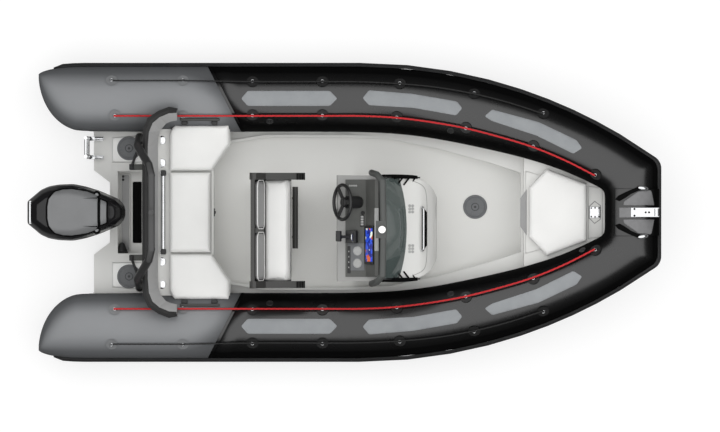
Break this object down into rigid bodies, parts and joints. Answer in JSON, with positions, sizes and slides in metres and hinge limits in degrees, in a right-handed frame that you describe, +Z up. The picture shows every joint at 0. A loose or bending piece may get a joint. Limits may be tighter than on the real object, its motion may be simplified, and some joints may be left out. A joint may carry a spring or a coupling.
{
  "type": "rigid inflatable boat",
  "caption": "Rigid inflatable boat with black and grey tubes, deep-V hull, offset helm console, helm seat, stern bench, bow cushion, ski mast and outboard.",
  "frame": {"origin": "amidships on the centreline at the waterline", "axes": "+X towards the bow, +Y to port, +Z up"},
  "size_m": [5.37, 2.546, 2.0825],
  "materials": {
    "gelcoat": "satin",
    "tube_black": "satin",
    "tube_grey": "satin",
    "rail_rubber": "satin",
    "dark_plastic": "matte",
    "grey_plastic": "matte",
    "steel": "polished",
    "vinyl": "matte",
    "grey_vinyl": "matte",
    "frame_grey": "satin",
    "screen": "gloss",
    "lamp": "gloss",
    "cowl_black": "gloss",
    "engine_paint": "satin",
    "bracket_paint": "satin",
    "mast_paint": "satin",
    "block": "satin"
  },
  "bodies": {
    "boat": {"hull_shell": "gelcoat", "deck": "gelcoat", "tube_stern_port": "tube_grey", "tube_stern_starboard": "tube_grey", "tube_port": "tube_black", "tube_starboard": "tube_black", "tube_bow": "tube_black", "rub_rail": "rail_rubber", "bow_step": "dark_plastic", "bow_roller": "steel", "tow_eyes": "steel", "bow_eye": "steel", "deck_hatches": "grey_plastic", "bow_locker": "gelcoat", "console_body": "gelcoat", "console_dash": "dark_plastic", "windscreen": "screen", "windscreen_fins": "dark_plastic", "console_rail": "dark_plastic", "nav_light": "lamp", "chartplotter": "dark_plastic", "throttle": "dark_plastic", "helm_hub": "dark_plastic", "helm_seat_base": "gelcoat", "helm_seat_cushion": "vinyl", "helm_seat_frame": "frame_grey", "helm_seat_pads": "grey_vinyl", "helm_footrest": "dark_plastic", "bench_base": "gelcoat", "bench_corner_cushions": "vinyl", "bench_backrest": "frame_grey", "bench_tube": "steel", "ski_mast": "mast_paint", "ladder_brackets": "steel", "clamp_bracket": "bracket_paint"},
    "tilt_frame": {"swivel_bracket": "bracket_paint"},
    "outboard": {"engine_leg": "engine_paint", "gearcase": "engine_paint", "cowling": "cowl_black", "engine_block": "block"},
    "propeller": {"propeller": "engine_paint"},
    "helm_wheel": {"helm_wheel": "dark_plastic"},
    "ladder": {"ladder": "steel"},
    "bench_lid": {"bench_lid": "gelcoat", "bench_cushion": "vinyl"},
    "bow_locker_lid": {"bow_locker_lid": "gelcoat", "bow_cushion": "vinyl"},
    "anchor_lid": {"anchor_lid": "gelcoat", "anchor_lid_plate": "steel"}
  },
  "joints": [
    {"name": "outboard_tilt", "type": "hinge", "parent": "boat", "child": "tilt_frame", "pos_m": [-2.078, 0, 0.262], "axis": [0, 1, 0], "range_deg": [0, 15]},
    {"name": "outboard_steer", "type": "hinge", "parent": "tilt_frame", "child": "outboard", "pos_m": [-2.192, 0, 0.2], "axis": [0, 0, 1], "range_deg": [-35, 35]},
    {"name": "propeller_spin", "type": "hinge", "parent": "outboard", "child": "propeller", "pos_m": [-2.51, 0, -0.51], "axis": [-1, 0, 0], "continuous": true},
    {"name": "helm_wheel_turn", "type": "hinge", "parent": "boat", "child": "helm_wheel", "pos_m": [-0.042, 0.085, 1.01], "axis": [-0.8704, 0, 0.4924], "range_deg": [-720, 720]},
    {"name": "ladder_swing", "type": "hinge", "parent": "boat", "child": "ladder", "pos_m": [-2.205, 0.549, 0.257], "axis": [0, -1, 0], "range_deg": [0, 170]},
    {"name": "bench_lid_hinge", "type": "hinge", "parent": "boat", "child": "bench_lid", "pos_m": [-1.495, 0, 0.44], "axis": [0, -1, 0], "range_deg": [0, 65]},
    {"name": "bow_locker_lid_hinge", "type": "hinge", "parent": "boat", "child": "bow_locker_lid", "pos_m": [1.515, 0, 0.45], "axis": [0, -1, 0], "range_deg": [0, 70]},
    {"name": "anchor_lid_hinge", "type": "hinge", "parent": "boat", "child": "anchor_lid", "pos_m": [2.048, 0, 0.45], "axis": [0, -1, 0], "range_deg": [0, 75]}
  ],
  "couplings": [
    {"joint": "helm_wheel_turn", "follows": "outboard_steer", "ratio": 20.571}
  ]
}
